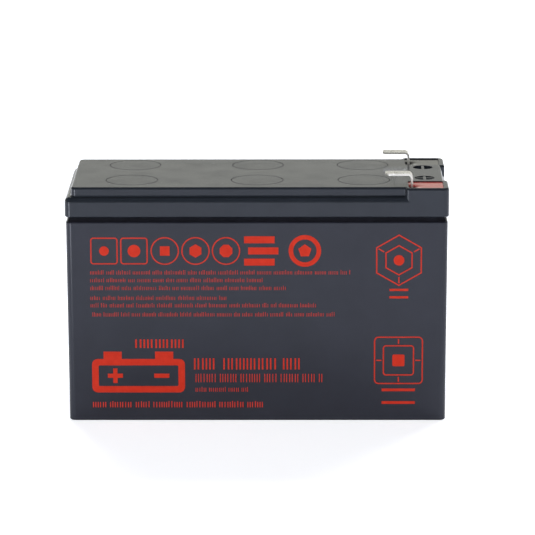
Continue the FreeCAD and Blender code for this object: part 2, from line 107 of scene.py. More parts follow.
def new_material(name):
    """An empty node material with its Principled shader wired to the output."""
    material = bpy.data.materials.new(name)
    material.use_nodes = True
    tree = material.node_tree
    tree.nodes.clear()
    output = tree.nodes.new("ShaderNodeOutputMaterial")
    shader = tree.nodes.new("ShaderNodeBsdfPrincipled")
    tree.links.new(shader.outputs["BSDF"], output.inputs["Surface"])
    return material, tree, shader


def noise(tree, scale, detail=3, stretch=EVEN):
    """Noise in the object's own space, so it stays put on the surface."""
    coordinates = tree.nodes.new("ShaderNodeTexCoord")
    mapping = tree.nodes.new("ShaderNodeMapping")
    texture = tree.nodes.new("ShaderNodeTexNoise")
    feed_all(tree, mapping, {"Vector": coordinates.outputs["Object"], "Scale": stretch})
    feed_all(tree, texture, {
        "Vector": mapping.outputs["Vector"],
        "Scale": scale,
        "Detail": detail,
        "Roughness": NOISE_ROUGHNESS,
    })
    return texture.outputs["Fac"]


def spread(tree, value, low, high, low_in=NOISE_LOW, high_in=NOISE_HIGH):
    """A value between low_in and high_in, mapped to the range from low to high."""
    node = tree.nodes.new("ShaderNodeMapRange")
    feed_all(tree, node, {
        "Value": value,
        "From Min": low_in,
        "From Max": high_in,
        "To Min": low,
        "To Max": high,
    })
    return node.outputs["Result"]


def tint(tree, value, dark, light):
    """A colour that runs from dark to light as the value runs from 0 to 1."""
    node = tree.nodes.new("ShaderNodeMix")
    node.data_type = "RGBA"
    feed_all(tree, node, {MIX_FACTOR: value, MIX_A: dark, MIX_B: light})
    return node.outputs[MIX_RESULT]


def opaque(red, green, blue):
    return red, green, blue, 1.0


def paint(tree, shader, pattern, dark, light):
    """Base colour that runs from dark to light over a noise pattern."""
    share = spread(tree, pattern, 0, 1)
    feed(tree, shader.inputs["Base Color"], tint(tree, share, opaque(*dark), opaque(*light)))


def add_bump(tree, shader, height, depth, below=None):
    """Bump of a real depth in metres, laid over an earlier bump if there is one."""
    node = tree.nodes.new("ShaderNodeBump")
    feed_all(tree, node, {"Distance": depth, "Height": height})
    if below is not None:
        feed(tree, node.inputs["Normal"], below)
    feed(tree, shader.inputs["Normal"], node.outputs["Normal"])
    return node.outputs["Normal"]


# ------------------------------------------------------------------ materials
PAINTED_SHADE_START = 0.1 * MM         # painted shade in the resin starts this far under its level
PAINTED_SHADE_FULL = 0.5 * MM


def moulded_plastic(name, dark, light, gloss):
    """Injection-moulded plastic: fine grain, slow sink waves and uneven gloss."""
    material, tree, shader = new_material(name)
    paint(tree, shader, noise(tree, scale=55, detail=4), dark, light)
    smears = noise(tree, scale=90, detail=5, stretch=(1, 1, 0.5))
    feed_all(tree, shader, {
        "Roughness": spread(tree, smears, *gloss),
        "IOR": 1.5,
        "Specular IOR Level": 0.55,
        "Specular Tint": opaque(0.86, 0.90, 1.0),
    })
    waves = add_bump(tree, shader, noise(tree, scale=26, detail=1), 60 * MICRON)
    add_bump(tree, shader, noise(tree, scale=2600, detail=2), 1.5 * MICRON, waves)
    return material


def printing_ink(name, dark, light):
    """Matt screen ink, a little uneven in density."""
    material, tree, shader = new_material(name)
    paint(tree, shader, noise(tree, scale=420, detail=4), dark, light)
    feed_all(tree, shader, {"Roughness": 0.5, "Specular IOR Level": 0.3})
    add_bump(tree, shader, noise(tree, scale=2200), 6 * MICRON)
    return material


def poured_resin(name, hollow_shade, deep, thin, coat):
    """Glossy resin, uneven in tone, with painted shade that darkens it down in the sink beside the
    leg.
    """
    material, tree, shader = new_material(name)
    share = spread(tree, noise(tree, scale=180), 0, 1)
    skin_colour = tint(tree, share, opaque(*deep), opaque(*thin))
    coordinates = tree.nodes.new("ShaderNodeTexCoord")
    parts = tree.nodes.new("ShaderNodeSeparateXYZ")
    feed(tree, parts.inputs["Vector"], coordinates.outputs["Object"])
    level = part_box("positive_terminal_seal")[1][2]
    painted_shade_span = (level - PAINTED_SHADE_FULL, level - PAINTED_SHADE_START)
    outside_painted_shade = spread(tree, parts.outputs["Z"], 0, 1, *painted_shade_span)
    feed_all(tree, shader, {
        # below the resin's level the base colour runs to a darker one: painted shade in the sink
        # beside the leg
        "Base Color": tint(tree, outside_painted_shade, opaque(*hollow_shade), skin_colour),
        "Roughness": 0.14,
        "Coat Weight": coat,
        "Coat Roughness": 0.06,
    })
    add_bump(tree, shader, noise(tree, scale=140, detail=2), 60 * MICRON)
    return material


def tinned_strip(name, dark, light):
    """Bright tin plating with fine rolling lines along the strip."""
    material, tree, shader = new_material(name)
    lines = noise(tree, scale=700, detail=4, stretch=(0.06, 1, 1))
    paint(tree, shader, lines, dark, light)
    feed_all(tree, shader, {
        "Metallic": 0.78,
        "Roughness": spread(tree, noise(tree, scale=300), 0.22, 0.42),
    })
    add_bump(tree, shader, lines, 8 * MICRON)
    return material


def grained(name, dark, light, scale, detail, bump, rough, stretch=EVEN, metallic=0.0,
            specular=0.5):
    """A material with one noise for its tint and bump, and for its roughness if that is a range."""
    material, tree, shader = new_material(name)
    grain = noise(tree, scale, detail, stretch)
    paint(tree, shader, grain, dark, light)
    feed_all(tree, shader, {
        "Roughness": spread(tree, grain, *rough) if isinstance(rough, tuple) else rough,
        "Metallic": metallic,
        "Specular IOR Level": specular,
    })
    add_bump(tree, shader, grain, bump)
    return material


LID_DARK = (0.0130, 0.0160, 0.0215)
LID_LIGHT = (0.0165, 0.0200, 0.0270)

CASE = moulded_plastic(
    "case_plastic", (0.0130, 0.0140, 0.0205), (0.0165, 0.0175, 0.0260), gloss=(0.20, 0.27))
LID = moulded_plastic("lid_plastic", LID_DARK, LID_LIGHT, gloss=(0.17, 0.24))
COVER = moulded_plastic("cover_plastic", LID_DARK, LID_LIGHT, gloss=(0.18, 0.25))
INK = printing_ink("red_ink", (0.53, 0.020, 0.004), (0.60, 0.028, 0.008))
# the first colour of each resin is painted shade for the sink beside the leg
RED_RESIN = poured_resin(
    "red_resin", hollow_shade=(0.05, 0.001, 0.001),
    deep=(0.26, 0.005, 0.004), thin=(0.36, 0.012, 0.009), coat=0.45)
BLACK_RESIN = poured_resin(
    "black_resin", hollow_shade=(0.003, 0.003, 0.003),
    deep=(0.006, 0.006, 0.007), thin=(0.016, 0.016, 0.018), coat=0.15)
TIN = tinned_strip("tinned_brass", (0.80, 0.785, 0.73), (0.90, 0.885, 0.84))
LEAD = grained(
    "cast_lead", (0.16, 0.165, 0.175), (0.34, 0.345, 0.36),
    scale=500, detail=6, bump=50 * MICRON, rough=(0.45, 0.7), metallic=0.8)
POSITIVE_PASTE = grained(
    "positive_paste", (0.055, 0.024, 0.016), (0.11, 0.05, 0.03),
    scale=1400, detail=5, bump=40 * MICRON, rough=0.9)
NEGATIVE_PASTE = grained(
    "negative_paste", (0.20, 0.21, 0.22), (0.33, 0.34, 0.35),
    scale=1400, detail=5, bump=40 * MICRON, rough=0.9)
GLASS_MAT = grained(
    "glass_mat", (0.62, 0.62, 0.58), (0.80, 0.80, 0.77),
    scale=1800, detail=6, bump=60 * MICRON, rough=0.95, stretch=(1, 1, 0.15))
RUBBER = grained(
    "valve_rubber", (0.015, 0.015, 0.016), (0.035, 0.035, 0.036),
    scale=400, detail=3, bump=30 * MICRON, rough=0.7)
# near-black bead material: part bonding resin, and its darkness is painted shade for the groove
# under the flange
BOND_SHADE = grained(
    "bonding_resin_shade", (0.004, 0.004, 0.006), (0.011, 0.011, 0.016),
    scale=260, detail=4, bump=80 * MICRON, rough=(0.75, 0.95), specular=0.15)

NODE_MATERIALS = [              # the first of these that starts a CAD node's name counts
    ("container", CASE),
    ("lid", LID),
    ("vent_cover", COVER),
    ("vent_valve", RUBBER),
    ("positive_terminal_seal", RED_RESIN),
    ("negative_terminal_seal", BLACK_RESIN),
    ("positive_terminal", TIN),
    ("negative_terminal", TIN),
    ("positive_post", LEAD),
    ("negative_post", LEAD),
    ("intercell_link", LEAD),
    ("positive_plates", POSITIVE_PASTE),
    ("negative_plates", NEGATIVE_PASTE),
    ("separators", GLASS_MAT),
]


def dress_cad_nodes():
    for name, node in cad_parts.items():
        material = next(m for prefix, m in NODE_MATERIALS if name.startswith(prefix))
        node.data.materials.clear()
        node.data.materials.append(material)


# ------------------------------------------------------------------ mesh helpers
PATH_TURNS = range(0, 91, 15)           # degrees of a quarter turn in a path or a cove
ROUND_TURNS = (0.0, 22.5, 45.0, 67.5, 90.0)     # and in a small rounded corner or edge
CIRCLE_POINTS = 48


def new_piece(name, mesh, material, smooth=True):
    """A piece of the object from a finished bmesh."""
    data = bpy.data.meshes.new(name)
    bmesh.ops.recalc_face_normals(mesh, faces=mesh.faces)
    for face in mesh.faces:
        face.smooth = smooth
    mesh.to_mesh(data)
    mesh.free()
    data.materials.append(material)
    piece = link_new(name, data)
    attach(piece, "root")
    return piece


def skin(mesh, rows, wrap_rows=False, wrap_columns=True):
    """Quads between neighbouring rows of vertices; a wrap joins the last to the first."""
    rows = list(rows)
    for here, there in zip(rows, rows[1:] + rows[:1] if wrap_rows else rows[1:]):
        for i in range(len(here) if wrap_columns else len(here) - 1):
            j = (i + 1) % len(here)
            mesh.faces.new([here[i], here[j], there[j], there[i]])


def cap(mesh, rings):
    """The two end faces of a run of rings."""
    mesh.faces.new(rings[0][::-1])
    mesh.faces.new(rings[-1])


def at_angle(x, y, radius, angle):
    return x + radius * math.cos(angle), y + radius * math.sin(angle)


def circle_points(x, y, radius, count=CIRCLE_POINTS, start=0.0):
    return [at_angle(x, y, radius, start + 2 * math.pi * i / count) for i in range(count)]


def cross_points(x, y, reach, half_width):
    """The outline of a plus sign."""
    points = []
    for quarter in range(4):
        turn = Matrix.Rotation(math.pi / 2 * quarter, 2)
        for corner in ((reach, -half_width), (reach, half_width), (half_width, half_width)):
            place = turn @ Vector(corner)
            points.append((x + place.x, y + place.y))
    return points


def corner_arc(centre, radius, start):
    """Points and outward directions along a quarter circle from a start angle in degrees."""
    arc = []
    for turn in PATH_TURNS:
        angle = math.radians(start + turn)
        out = Vector((math.cos(angle), math.sin(angle)))
        arc.append((centre + out * radius, out))
    return arc


def rounded_path(half_x, half_y, radius, step):
    """Points and outward directions round a rounded rectangle, about one step apart."""
    path = []
    for sign_x, sign_y, start in ((1, -1, -90), (1, 1, 0), (-1, 1, 90), (-1, -1, 180)):
        centre = Vector((sign_x * (half_x - radius), sign_y * (half_y - radius)))
        path += corner_arc(centre, radius, start)
    dense = []
    for (point, out), (ahead, out_ahead) in zip(path, path[1:] + path[:1]):
        parts = max(1, round((ahead - point).length / step))
        for i in range(parts):
            share = i / parts
            dense.append((point.lerp(ahead, share), out.lerp(out_ahead, share).normalized()))
    return dense


# ------------------------------------------------------------------ printed marks
# From here to the next line like the one above, places and sizes are in millimetres on the
# front face, x along and z up, unless they say MM.
INK_PROUD = 0.03 * MM
INK_SUNK = 0.03 * MM
PRINT_LINE = 0.5                # width of a drawn line
SHARPEST_CORNER = 0.5           # radius of the inside of an outline

# The top row, from left to right: two squares, three rings, three bars and a thick ring.
TOP_Z = 69.0
TOP_SQUARES = ((-60.1, 1.9), (-48.3, 2.5))              # x, and the radius of the disc inside
TOP_SQUARE_HALF = 5.4
TOP_SQUARE_CORNER = 1.2
TOP_RINGS = ((-36.2, 4), (-24.1, 6), (-12.1, 8))        # x, and the sides of the block inside
TOP_RING_RADIUS = 5.6
TOP_BLOCK_RADIUS = 2.7
TOP_BARS = ((-5.0, 7.0), (-3.4, 8.5), (-5.0, 7.0))      # x from and to, the highest first
TOP_BAR_PITCH = 4.5
TOP_BAR_HALF = 1.4
THICK_RING_X = 18.9
THICK_RING_RADIUS = 6.4
THICK_RING_LINE = 1.8

# Rows of upright strokes stand where the photo has lines of text.
# group: fewest and most strokes before a gap; extra: how much higher the tall ones are
Strokes = namedtuple("Strokes", "height width pitch group extra")
TALL_SHARE = 0.22               # share of the strokes that are tall
PITCH_STEPS = (1.0, 1.0, 1.25)  # what the pitch is multiplied by, drawn at random
GROUP_GAP = 1.1                 # in pitches
SMALL = Strokes(1.3, 0.2, 0.62, (4, 13), 0.35)
LARGE = Strokes(4.6, 0.6, 1.42, (30, 30), 0.0)
MIDDLE_SIZED = Strokes(3.4, 0.32, 0.98, (5, 10), 0.0)
FINE = Strokes(1.6, 0.24, 0.68, (5, 9), 0.2)
LOWEST = Strokes(2.2, 0.38, 0.92, (5, 12), 0.15)
OVER_SIGN = Strokes(3.5, 0.66, 1.45, (30, 30), 0.0)
SMALL_ROWS = (                  # x from and to, height of the row's foot, strokes
    (-65.6, 37.0, 59.5, SMALL),
    (-65.6, 2.0, 56.4, SMALL),
    (-65.6, 11.5, 53.2, SMALL),
    (-65.6, -12.3, 49.2, SMALL),
    (-65.6, 23.9, 46.2, SMALL),
    (-64.9, 30.6, 42.5, SMALL),
)
RATING_ROWS = (
    (-25.0, -17.0, 20.9, LARGE),
    (-13.4, 7.4, 20.9, LARGE),
    (10.2, 16.4, 20.9, LARGE),
    (-24.4, 26.2, 15.7, MIDDLE_SIZED),
    (-24.4, -3.8, 11.8, FINE),
    (-65.2, 2.4, 5.4, LOWEST),
    (-48.2, -29.0, 29.7, OVER_SIGN),
)

# The battery outline: x from and to, z from and to.
BATTERY_FRAME = (-65.4, -28.6, 11.5, 25.2)
BATTERY_CORNER = 2.2
BATTERY_LINE = 2.6
BATTERY_POLES = ((-60.8, -53.6, 25.2, 28.2), (-40.4, -33.2, 25.2, 28.2))
BATTERY_PLUS = (-56.2, 18.35, 3.0, 0.85)        # x, z, reach, half the width
BATTERY_MINUS = (-40.8, -34.8, 17.5, 19.2)

# The two signs at the right, and the bars under each: half the length, z from and to.
RIGHT_X = 55.9
UPPER_Z = 65.2
UPPER_RADII = (10.4, 6.2)
UPPER_SPOKES = (6.8, 9.3, (30, 150, 270))       # radius from and to, angles
UPPER_DISC = 2.1
LOWER_Z = 24.6
LOWER_SQUARES = ((9.7, 1.8), (6.2, 1.3))        # half the side, corner
LOWER_SPOKES = (6.7, 8.7, (0, 90, 180, 270))
LOWER_BLOCK = (2.4, 0.6)
RIGHT_BARS = ((3.7, 49.8, 50.7), (3.7, 52.8, 53.7), (6.6, 6.8, 7.9), (6.6, 12.0, 13.1))


def surface_tree(node):
    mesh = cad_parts[node].data
    return BVHTree.FromPolygons([v.co for v in mesh.vertices], [p.vertices for p in mesh.polygons])


FRONT = surface_tree("container")


def front_y(x, z):
    """The y of the container's front face at a place on it, all in metres."""
    hit = FRONT.ray_cast(Vector((x, -1.0, z)), Vector((0, 1, 0)))[0]
    return hit.y


def rounded_points(x0, x1, z0, z1, radius):
    points = []
    corners = [(x1 - radius, z0 + radius, -90), (x1 - radius, z1 - radius, 0),
               (x0 + radius, z1 - radius, 90), (x0 + radius, z0 + radius, 180)]
    for x, z, start in corners:
        for turn in ROUND_TURNS:
            points.append(at_angle(x, z, radius, math.radians(start + turn)))
    return points


class Print:
    """Flat inked shapes on the front face that make one piece."""

    def __init__(self):
        self.mesh = bmesh.new()

    def row(self, outline, proud):
        """A vertex for each point of an outline, standing proud of the face."""
        places = [(x * MM, front_y(x * MM, z * MM) - proud, z * MM) for x, z in outline]
        return [self.mesh.verts.new(place) for place in places]

    def fill(self, outline):
        rows = [self.row(outline, INK_PROUD), self.row(outline, -INK_SUNK)]
        skin(self.mesh, rows)
        cap(self.mesh, rows)

    def band(self, outer, inner):
        """The band between two outlines of as many points."""
        skin(self.mesh, [
            self.row(outer, INK_PROUD),
            self.row(outer, -INK_SUNK),
            self.row(inner, -INK_SUNK),
            self.row(inner, INK_PROUD),
        ], wrap_rows=True)

    def bar(self, x0, x1, z0, z1):
        self.fill([(x0, z0), (x1, z0), (x1, z1), (x0, z1)])

    def rounded_outline(self, x0, x1, z0, z1, radius, line):
        inside = max(radius - line, SHARPEST_CORNER)
        inner = rounded_points(x0 + line, x1 - line, z0 + line, z1 - line, inside)
        self.band(rounded_points(x0, x1, z0, z1, radius), inner)

    def square_outline(self, x, z, half, radius):
        self.rounded_outline(x - half, x + half, z - half, z + half, radius, PRINT_LINE)

    def ring(self, x, z, radius, line):
        self.band(circle_points(x, z, radius), circle_points(x, z, radius - line))

    def disc(self, x, z, radius):
        self.fill(circle_points(x, z, radius))

    def block(self, x, z, radius, sides, start=math.pi / 2):
        """A filled regular polygon with a corner at the start angle."""
        self.fill(circle_points(x, z, radius, sides, start))

    def hexagon_outline(self, x, z, radius):
        inner = radius - PRINT_LINE / math.cos(math.pi / 6)
        self.band(
            circle_points(x, z, radius, 6, math.pi / 2),
            circle_points(x, z, inner, 6, math.pi / 2),
        )

    def spokes(self, x, z, start, end, degrees):
        """Straight strokes along radii."""
        centre = Vector((x, z))
        for degree in degrees:
            angle = math.radians(degree)
            along = Vector((math.cos(angle), math.sin(angle)))
            across = Vector((-along.y, along.x)) * PRINT_LINE / 2
            corners = [centre + along * start - across, centre + along * end - across,
                       centre + along * end + across, centre + along * start + across]
            self.fill([(corner.x, corner.y) for corner in corners])

    def strokes(self, start, end, foot, style):
        """A row of plain upright strokes in groups, some of them taller."""
        x = start
        left = rng.randint(*style.group)
        while x < end:
            tall = rng.random() < TALL_SHARE
            rise = style.height * (1.0 + style.extra) if tall else style.height
            self.bar(x, x + style.width, foot, foot + rise)
            x += style.pitch * rng.choice(PITCH_STEPS)
            left -= 1
            if left == 0:
                x += style.pitch * GROUP_GAP
                left = rng.randint(*style.group)

    def finish(self, name):
        new_piece(name, self.mesh, INK, smooth=False)


def print_top_marks():
    """The row of plain outlined shapes across the top left."""
    sheet = Print()
    for x, disc_radius in TOP_SQUARES:
        sheet.square_outline(x, TOP_Z, TOP_SQUARE_HALF, TOP_SQUARE_CORNER)
        sheet.disc(x, TOP_Z, disc_radius)
    for x, sides in TOP_RINGS:
        sheet.ring(x, TOP_Z, TOP_RING_RADIUS, PRINT_LINE)
        sheet.block(x, TOP_Z, TOP_BLOCK_RADIUS, sides, start=math.pi / sides)
    for level, (x0, x1) in enumerate(TOP_BARS):
        z = TOP_Z + TOP_BAR_PITCH * (1 - level)
        sheet.bar(x0, x1, z - TOP_BAR_HALF, z + TOP_BAR_HALF)
    sheet.ring(THICK_RING_X, TOP_Z, THICK_RING_RADIUS, THICK_RING_LINE)
    sheet.block(THICK_RING_X, TOP_Z, TOP_BLOCK_RADIUS, 5)
    sheet.finish("print_top_marks")


def print_rows(name, rows):
    """One piece of plain stroke rows, each given as start, end, foot and style."""
    sheet = Print()
    for row in rows:
        sheet.strokes(*row)
    sheet.finish(name)


def print_battery_sign():
    """A plain battery outline with two poles, where the large mark sits."""
    sheet = Print()
    sheet.rounded_outline(*BATTERY_FRAME, BATTERY_CORNER, BATTERY_LINE)
    for pole in BATTERY_POLES:
        sheet.bar(*pole)
    sheet.fill(cross_points(*BATTERY_PLUS))
    sheet.bar(*BATTERY_MINUS)
    sheet.finish("print_battery_sign")


def print_right_marks():
    """Two open signs at the right, each over two short bars."""
    sheet = Print()
    for radius in UPPER_RADII:
        sheet.hexagon_outline(RIGHT_X, UPPER_Z, radius)
    sheet.spokes(RIGHT_X, UPPER_Z, *UPPER_SPOKES)
    sheet.disc(RIGHT_X, UPPER_Z, UPPER_DISC)
    for half, corner in LOWER_SQUARES:
        sheet.square_outline(RIGHT_X, LOWER_Z, half, corner)
    sheet.spokes(RIGHT_X, LOWER_Z, *LOWER_SPOKES)
    half, corner = LOWER_BLOCK
    edges = (RIGHT_X - half, RIGHT_X + half, LOWER_Z - half, LOWER_Z + half)
    sheet.fill(rounded_points(*edges, corner))
    for half, z0, z1 in RIGHT_BARS:
        sheet.bar(RIGHT_X - half, RIGHT_X + half, z0, z1)
    sheet.finish("print_right_marks")


# ------------------------------------------------------------------ bonding bead, near-black as painted shade
NECK_DEPTH = 1.1 * MM           # groove under the lid's flange, as in the CAD model
NECK_HEIGHT = 1.8 * MM
NECK_CORNER = 1.5 * MM
BEAD_STEP = 1.5 * MM
BEAD_SWELL = 0.5                # how much the bead's reach varies, as a share
BEAD_PROFILE = (                # millimetres outwards, share of the groove's height, swells
    (-0.1, 0.0, False),
    (0.45, 0.0, True),
    (0.28, 0.12, True),
    (0.14, 0.3, False),
    (0.1, 0.5, False),
    (0.14, 0.7, False),
    (0.28, 0.88, True),
    (0.5, 1.0, True),
    (-0.1, 1.0, False),
)


def bond_and_shade_bead():
    """A near-black bead along the groove under the flange, squeezed out a little unevenly like
    bonding resin; its dark colour is painted shade for the shadow in the groove.
    """
    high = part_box("container")[1]
    half_x, half_y = high[0] - NECK_DEPTH, high[1] - NECK_DEPTH
    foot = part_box("lid")[0][2] - NECK_HEIGHT
    mesh = bmesh.new()
    rings = []
    for point, out in rounded_path(half_x, half_y, NECK_CORNER, BEAD_STEP):
        swell = 1.0 + BEAD_SWELL * (rng.random() - 0.5)
        ring = []
        for outward, level, swells in BEAD_PROFILE:
            place = point + out * (outward * swell if swells else outward) * MM
            ring.append(mesh.verts.new((place.x, place.y, foot + level * NECK_HEIGHT)))
        rings.append(ring)
    skin(mesh, zip(*rings), wrap_rows=True)
    new_piece("bond_and_shade_bead", mesh, BOND_SHADE)


# ------------------------------------------------------------------ sealing resin
TAB_REACH = 10.8 * MM           # tab tip to the outer face of the upright leg
TAB_THICKNESS = 0.8 * MM
RESIN_CELL = 0.3 * MM
WALL_CLIMB = 0.08 * MM          # how far the skin climbs the pocket's walls, and fades out
WALL_CLIMB_REACH = 0.5 * MM
LEG_CLIMB = 0.35 * MM
LEG_CLIMB_REACH = 0.3 * MM
SINK_DEPTH = 1.0 * MM           # hollow that the resin left beside the leg as it set
SINK_REACH = (2.0 * MM, 2.4 * MM)
RED_SINK_PLACE = (0.4 * MM, -0.6 * MM)      # from the leg's inner face and its near edge
BLACK_SINK_PLACE = (0.2 * MM, 3.0 * MM)


def resin_rise(x, y, walls, leg, sink_place):
    """Rise of the resin's skin over its level, in metres."""
    low, high = walls
    leg_x0, leg_x1, leg_y0, leg_y1 = leg
    to_wall = max(0.0, min(x - low[0], high[0] - x, y - low[1], high[1] - y))
    to_leg = math.hypot(max(leg_x0 - x, 0.0, x - leg_x1), max(leg_y0 - y, 0.0, y - leg_y1))
    sink_x = (x - leg_x0 - sink_place[0]) / SINK_REACH[0]
    sink_y = (y - leg_y0 - sink_place[1]) / SINK_REACH[1]
    return (
        WALL_CLIMB * math.exp(-to_wall / WALL_CLIMB_REACH)
        + LEG_CLIMB * math.exp(-to_leg / LEG_CLIMB_REACH)
        - SINK_DEPTH * math.exp(-(sink_x ** 2 + sink_y ** 2))
    )


def resin_pool(name, seal, terminal, material, sink_place):
    """The poured resin of one pocket, with its skin curved up at the walls and sunk at the leg."""
    low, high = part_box(seal)
    tab_low, tab_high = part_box(terminal)
    leg_x = tab_low[0] + TAB_REACH
    leg = (leg_x - TAB_THICKNESS, leg_x, tab_low[1], tab_high[1])
    x_cells = round((high[0] - low[0]) / RESIN_CELL)
    y_cells = round((high[1] - low[1]) / RESIN_CELL)
    mesh = bmesh.new()
    rows = []
    for j in range(y_cells + 1):
        y = low[1] + (high[1] - low[1]) * j / y_cells
        row = []
        for i in range(x_cells + 1):
            x = low[0] + (high[0] - low[0]) * i / x_cells
            z = high[2] + resin_rise(x, y, (low, high), leg, sink_place)
            row.append(mesh.verts.new((x, y, z)))
        rows.append(row)
    skin(mesh, rows, wrap_columns=False)
    rim = rows[0][:-1] + [row[-1] for row in rows[:-1]]
    rim += rows[-1][:0:-1] + [row[0] for row in rows[:0:-1]]
    foot = [mesh.verts.new((vert.co.x, vert.co.y, low[2])) for vert in rim]
    skin(mesh, [foot, rim])
    mesh.faces.new(foot)
    piece = new_piece(name, mesh, material)
    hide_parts(seal)


# ------------------------------------------------------------------ coves at the tier's foot
COVE_RADIUS = 0.55 * MM
COVE_BITE = 0.2                 # reach into the wall, in radii
TIER_HEIGHT = 3.7 * MM          # raised top over the ledge, as in the CAD model
TIER_SETBACK = 2.4 * MM
TIER_SETBACK_END = 1.6 * MM
TIER_CORNER = 2.2 * MM
BLOCK_LENGTH = 17.1 * MM
BLOCK_DEPTH = 17.0 * MM


def cove(name, path, foot):
    """A small hollow moulding run along the foot of a wall."""
    profile = [(-COVE_BITE, 0.0), (-COVE_BITE, 1.0)]
    for turn in PATH_TURNS:
        angle = math.radians(turn)
        profile.append((1 - math.cos(angle), 1 - math.sin(angle)))
    mesh = bmesh.new()
    rings = []
    for point, out in path:
        ring = []
        for outward, rise in profile:
            place = point + out * COVE_RADIUS * outward
            ring.append(mesh.verts.new((place.x, place.y, foot + COVE_RADIUS * rise)))
        rings.append(ring)
    skin(mesh, zip(*rings), wrap_rows=True, wrap_columns=False)
    cap(mesh, rings)
    new_piece(name, mesh, LID)


def tier_coves():
    """One cove round the tier from block to block, and one across its end between the blocks."""
    low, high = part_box("lid")
    foot = high[2] - TIER_HEIGHT
    block_x = high[0] - BLOCK_LENGTH
    half_y = high[1] - TIER_SETBACK
    corner_x = low[0] + TIER_SETBACK + TIER_CORNER
    corner_y = half_y - TIER_CORNER
    cove("tier_cove", [
        (Vector((block_x, half_y)), Vector((0, 1))),
        *corner_arc(Vector((corner_x, corner_y)), TIER_CORNER, 90),
        *corner_arc(Vector((corner_x, -corner_y)), TIER_CORNER, 180),
        (Vector((block_x, -half_y)), Vector((0, -1))),
    ], foot)
    end_x = high[0] - TIER_SETBACK_END
    end_y = high[1] - BLOCK_DEPTH
    out = Vector((1, 0))
    cove("tier_end_cove", [(Vector((end_x, -end_y)), out), (Vector((end_x, end_y)), out)], foot)


# ------------------------------------------------------------------ vent covers
COVER_COUNT = 6
COVER_EDGE = 0.26 * MM          # round along the top edge of each cover
COVER_THICKNESS = 1.5 * MM
COVER_FLAT_START = 0.06 * MM    # keeps the flat's shading flat up to the round
COVER_INNER_RING = 0.5          # radius of the innermost ring, as a share of the cover's
COVER_POINTS = 96


def cover_profile(radius, top):
    """Radius and height, from the foot of the rim to the flat."""
    profile = [(radius, top - COVER_THICKNESS)]
    for turn in ROUND_TURNS:
        angle = math.radians(turn)
        profile.append((
            radius - COVER_EDGE * (1 - math.cos(angle)),
            top - COVER_EDGE * (1 - math.sin(angle)),
        ))
    profile.append((radius - COVER_EDGE - COVER_FLAT_START, top))
    profile.append((radius * COVER_INNER_RING, top))
    return profile


def vent_covers():
    """The six flush discs, each with a rounded top edge."""
    for number in range(1, COVER_COUNT + 1):
        node = f"vent_cover_{number}"
        low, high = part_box(node)
        x, y = (low[0] + high[0]) / 2, (low[1] + high[1]) / 2
        mesh = bmesh.new()
        rings = []
        for radius, z in cover_profile((high[0] - low[0]) / 2, high[2]):
            points = circle_points(x, y, radius, COVER_POINTS)
            rings.append([mesh.verts.new((*point, z)) for point in points])
        skin(mesh, rings)
        cap(mesh, rings)
        piece = new_piece(f"vent_disc_{number}", mesh, COVER)
        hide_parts(node)


# ------------------------------------------------------------------ moulded polarity signs
SIGN_LENGTH = 7.0 * MM
SIGN_WIDTH = 1.15 * MM
SIGN_HEIGHT = 0.95 * MM
SIGN_EDGE = 0.06 * MM
SIGN_BITE = 0.05 * MM
SIGN_X = 66.5 * MM              # the recesses' places, as in the CAD model
PLUS_Y = -10.3 * MM
MINUS_Y = 11.6 * MM
RECESS_DEPTH = 1.0 * MM


def sign_outline(shape, y, inset):
    """The outline of a sign, drawn in by the inset."""
    reach = SIGN_LENGTH / 2 - inset
    half_width = SIGN_WIDTH / 2 - inset
    if shape == "plus":
        return cross_points(SIGN_X, y, reach, half_width)
    corners = ((-1, -1), (1, -1), (1, 1), (-1, 1))
    return [(SIGN_X + half_width * side, y + reach * end) for side, end in corners]


def polarity_signs():
    """A raised plus and a raised minus, each on the floor of its recess."""
    floor_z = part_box("lid")[1][2] - RECESS_DEPTH
    levels = ((0, -SIGN_BITE), (0, SIGN_HEIGHT - SIGN_EDGE), (SIGN_EDGE, SIGN_HEIGHT))
    for shape, y in (("plus", PLUS_Y), ("minus", MINUS_Y)):
        mesh = bmesh.new()
        rings = []
        for inset, rise in levels:
            outline = sign_outline(shape, y, inset)
            rings.append([mesh.verts.new((*point, floor_z + rise)) for point in outline])
        skin(mesh, rings)
        cap(mesh, rings)
        new_piece(f"{shape}_sign", mesh, LID, smooth=False)


# ------------------------------------------------------------------ floor, backdrop and light
WHITE = opaque(1.0, 1.0, 1.0)
FLOOR_REACH = 6.0
FLOOR_COLOUR = opaque(0.72, 0.74, 0.80)
FLOOR_GLOW_SEEN = 0.58          # with the light that falls on the floor, white to the eye
FLOOR_GLOW_MIRRORED = 0.12
WORLD_FILL = opaque(0.12, 0.12, 0.125)
FRONT_FADE = 4.0                # how much sooner the light fades towards the front of the room
BACKDROP_STOPS = [              # sine of the elevation, and the backdrop's light there
    (0.0, (1.0, 1.0, 0.96)),
    (0.10, (0.85, 0.85, 0.79)),
    (0.22, (0.52, 0.52, 0.46)),
    (0.45, (0.25, 0.25, 0.23)),
    (0.75, (0.05, 0.05, 0.055)),
]
RAMP_ENDS = 2                   # stops that a new colour ramp has already
AIM = (0, 0, 0.05)
PANELS = (                      # name, place, what it points at, size, watts
    ("front_panel", (-0.35, -2.1, 0.75), AIM, (2.4, 0.9), 33),
    ("over_panel", (-0.1, -0.5, 1.3), (-0.1, -0.5, 0), (0.9, 0.5), 4.5),
    ("back_panel", (0.3, 2.6, 1.85), AIM, (3.1, 1.55), 190),
)
CARDS = (                       # name, degrees from the front towards -X, distance, brightness
    ("left_card", 112, 0.42, 5),
    ("front_left_card", 42, 0.36, 8),
)
CARD_SIZE = (0.05, 0.12)
CARD_HEIGHT = 0.05


